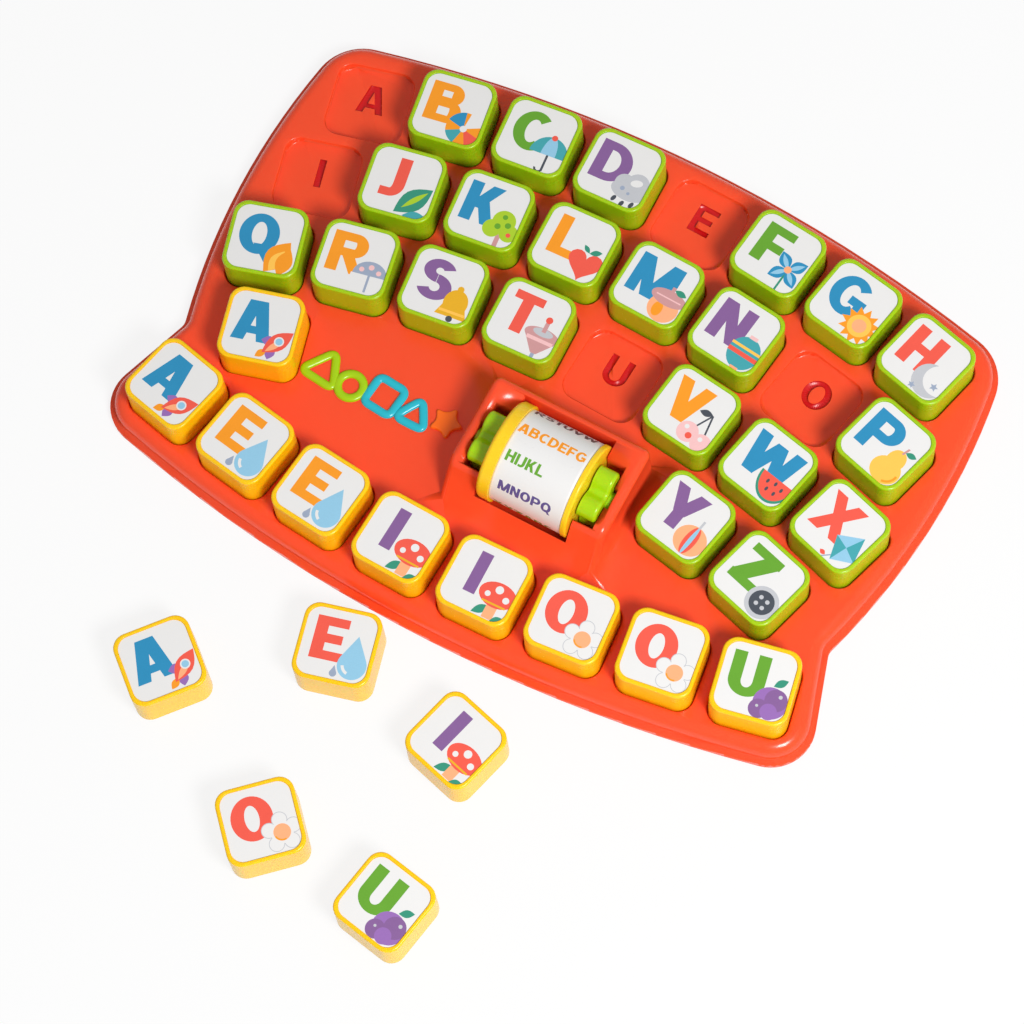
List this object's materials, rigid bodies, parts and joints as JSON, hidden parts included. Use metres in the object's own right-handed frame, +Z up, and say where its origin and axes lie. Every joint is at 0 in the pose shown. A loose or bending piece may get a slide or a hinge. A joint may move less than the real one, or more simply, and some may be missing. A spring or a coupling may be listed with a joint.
{
  "type": "word building game",
  "caption": "Moulded tray with arched rows of square pockets that hold lettered tiles, and a turning word roller with cross knobs at its middle.",
  "frame": {"origin": "on the table, at the middle of the ground that the tray and its loose tiles cover", "axes": "+Z up, +Y away from the player towards the tray's rear edge, +X to the player's right"},
  "size_m": [0.3664, 0.4023, 0.052],
  "materials": {
    "tray_plastic": "glossy moulded red-orange",
    "green_plastic": "glossy moulded green",
    "yellow_plastic": "glossy moulded yellow",
    "knob_plastic": "glossy moulded lime green",
    "label": "printed film label, satin",
    "shape_plastic": "raised coloured shapes on the deck"
  },
  "bodies": {
    "tray": {"tray": "tray_plastic"},
    "roller": {"roller_drum": "yellow_plastic", "roller_cap": "yellow_plastic", "roller_label": "label", "knob_left": "knob_plastic", "knob_right": "knob_plastic"},
    "tile_b": {"tile_b": "green_plastic"},
    "tile_c": {"tile_c": "green_plastic"},
    "tile_d": {"tile_d": "green_plastic"},
    "tile_f": {"tile_f": "green_plastic"},
    "tile_g": {"tile_g": "green_plastic"},
    "tile_h": {"tile_h": "green_plastic"},
    "tile_j": {"tile_j": "green_plastic"},
    "tile_k": {"tile_k": "green_plastic"},
    "tile_l": {"tile_l": "green_plastic"},
    "tile_m": {"tile_m": "green_plastic"},
    "tile_n": {"tile_n": "green_plastic"},
    "tile_p": {"tile_p": "green_plastic"},
    "tile_q": {"tile_q": "green_plastic"},
    "tile_r": {"tile_r": "green_plastic"},
    "tile_s": {"tile_s": "green_plastic"},
    "tile_t": {"tile_t": "green_plastic"},
    "tile_v": {"tile_v": "green_plastic"},
    "tile_w": {"tile_w": "green_plastic"},
    "tile_x": {"tile_x": "green_plastic"},
    "tile_a_1": {"tile_a_1": "yellow_plastic"},
    "tile_y": {"tile_y": "green_plastic"},
    "tile_z": {"tile_z": "green_plastic"},
    "tile_a_2": {"tile_a_2": "yellow_plastic"},
    "tile_e_1": {"tile_e_1": "yellow_plastic"},
    "tile_e_2": {"tile_e_2": "yellow_plastic"},
    "tile_i_1": {"tile_i_1": "yellow_plastic"},
    "tile_i_2": {"tile_i_2": "yellow_plastic"},
    "tile_o_1": {"tile_o_1": "yellow_plastic"},
    "tile_o_2": {"tile_o_2": "yellow_plastic"},
    "tile_u_1": {"tile_u_1": "yellow_plastic"},
    "loose_a": {"loose_a": "yellow_plastic"},
    "loose_e": {"loose_e": "yellow_plastic"},
    "loose_i": {"loose_i": "yellow_plastic"},
    "loose_o": {"loose_o": "yellow_plastic"},
    "loose_u": {"loose_u": "yellow_plastic"}
  },
  "joints": [
    {"name": "roller_turn", "type": "hinge", "parent": "tray", "child": "roller", "pos_m": [0.0198, 0.02459, 0.028], "axis": [1, 0, 0], "continuous": true},
    {"name": "tile_b_lift", "type": "slide", "parent": "tray", "child": "tile_b", "axis": [0, 0, 1], "range_m": [0, 0.03]},
    {"name": "tile_c_lift", "type": "slide", "parent": "tray", "child": "tile_c", "axis": [0, 0, 1], "range_m": [0, 0.03]},
    {"name": "tile_d_lift", "type": "slide", "parent": "tray", "child": "tile_d", "axis": [0, 0, 1], "range_m": [0, 0.03]},
    {"name": "tile_f_lift", "type": "slide", "parent": "tray", "child": "tile_f", "axis": [0, 0, 1], "range_m": [0, 0.03]},
    {"name": "tile_g_lift", "type": "slide", "parent": "tray", "child": "tile_g", "axis": [0, 0, 1], "range_m": [0, 0.03]},
    {"name": "tile_h_lift", "type": "slide", "parent": "tray", "child": "tile_h", "axis": [0, 0, 1], "range_m": [0, 0.03]},
    {"name": "tile_j_lift", "type": "slide", "parent": "tray", "child": "tile_j", "axis": [0, 0, 1], "range_m": [0, 0.03]},
    {"name": "tile_k_lift", "type": "slide", "parent": "tray", "child": "tile_k", "axis": [0, 0, 1], "range_m": [0, 0.03]},
    {"name": "tile_l_lift", "type": "slide", "parent": "tray", "child": "tile_l", "axis": [0, 0, 1], "range_m": [0, 0.03]},
    {"name": "tile_m_lift", "type": "slide", "parent": "tray", "child": "tile_m", "axis": [0, 0, 1], "range_m": [0, 0.03]},
    {"name": "tile_n_lift", "type": "slide", "parent": "tray", "child": "tile_n", "axis": [0, 0, 1], "range_m": [0, 0.03]},
    {"name": "tile_p_lift", "type": "slide", "parent": "tray", "child": "tile_p", "axis": [0, 0, 1], "range_m": [0, 0.03]},
    {"name": "tile_q_lift", "type": "slide", "parent": "tray", "child": "tile_q", "axis": [0, 0, 1], "range_m": [0, 0.03]},
    {"name": "tile_r_lift", "type": "slide", "parent": "tray", "child": "tile_r", "axis": [0, 0, 1], "range_m": [0, 0.03]},
    {"name": "tile_s_lift", "type": "slide", "parent": "tray", "child": "tile_s", "axis": [0, 0, 1], "range_m": [0, 0.03]},
    {"name": "tile_t_lift", "type": "slide", "parent": "tray", "child": "tile_t", "axis": [0, 0, 1], "range_m": [0, 0.03]},
    {"name": "tile_v_lift", "type": "slide", "parent": "tray", "child": "tile_v", "axis": [0, 0, 1], "range_m": [0, 0.03]},
    {"name": "tile_w_lift", "type": "slide", "parent": "tray", "child": "tile_w", "axis": [0, 0, 1], "range_m": [0, 0.03]},
    {"name": "tile_x_lift", "type": "slide", "parent": "tray", "child": "tile_x", "axis": [0, 0, 1], "range_m": [0, 0.03]},
    {"name": "tile_a_1_lift", "type": "slide", "parent": "tray", "child": "tile_a_1", "axis": [0, 0, 1], "range_m": [0, 0.03]},
    {"name": "tile_y_lift", "type": "slide", "parent": "tray", "child": "tile_y", "axis": [0, 0, 1], "range_m": [0, 0.03]},
    {"name": "tile_z_lift", "type": "slide", "parent": "tray", "child": "tile_z", "axis": [0, 0, 1], "range_m": [0, 0.03]},
    {"name": "tile_a_2_lift", "type": "slide", "parent": "tray", "child": "tile_a_2", "axis": [0, 0, 1], "range_m": [0, 0.03]},
    {"name": "tile_e_1_lift", "type": "slide", "parent": "tray", "child": "tile_e_1", "axis": [0, 0, 1], "range_m": [0, 0.03]},
    {"name": "tile_e_2_lift", "type": "slide", "parent": "tray", "child": "tile_e_2", "axis": [0, 0, 1], "range_m": [0, 0.03]},
    {"name": "tile_i_1_lift", "type": "slide", "parent": "tray", "child": "tile_i_1", "axis": [0, 0, 1], "range_m": [0, 0.03]},
    {"name": "tile_i_2_lift", "type": "slide", "parent": "tray", "child": "tile_i_2", "axis": [0, 0, 1], "range_m": [0, 0.03]},
    {"name": "tile_o_1_lift", "type": "slide", "parent": "tray", "child": "tile_o_1", "axis": [0, 0, 1], "range_m": [0, 0.03]},
    {"name": "tile_o_2_lift", "type": "slide", "parent": "tray", "child": "tile_o_2", "axis": [0, 0, 1], "range_m": [0, 0.03]},
    {"name": "tile_u_1_lift", "type": "slide", "parent": "tray", "child": "tile_u_1", "axis": [0, 0, 1], "range_m": [0, 0.03]},
    {"name": "loose_a_lift", "type": "slide", "parent": "tray", "child": "loose_a", "axis": [0, 0, 1], "range_m": [0, 0.03]},
    {"name": "loose_e_lift", "type": "slide", "parent": "tray", "child": "loose_e", "axis": [0, 0, 1], "range_m": [0, 0.03]},
    {"name": "loose_i_lift", "type": "slide", "parent": "tray", "child": "loose_i", "axis": [0, 0, 1], "range_m": [0, 0.03]},
    {"name": "loose_o_lift", "type": "slide", "parent": "tray", "child": "loose_o", "axis": [0, 0, 1], "range_m": [0, 0.03]},
    {"name": "loose_u_lift", "type": "slide", "parent": "tray", "child": "loose_u", "axis": [0, 0, 1], "range_m": [0, 0.03]}
  ]
}
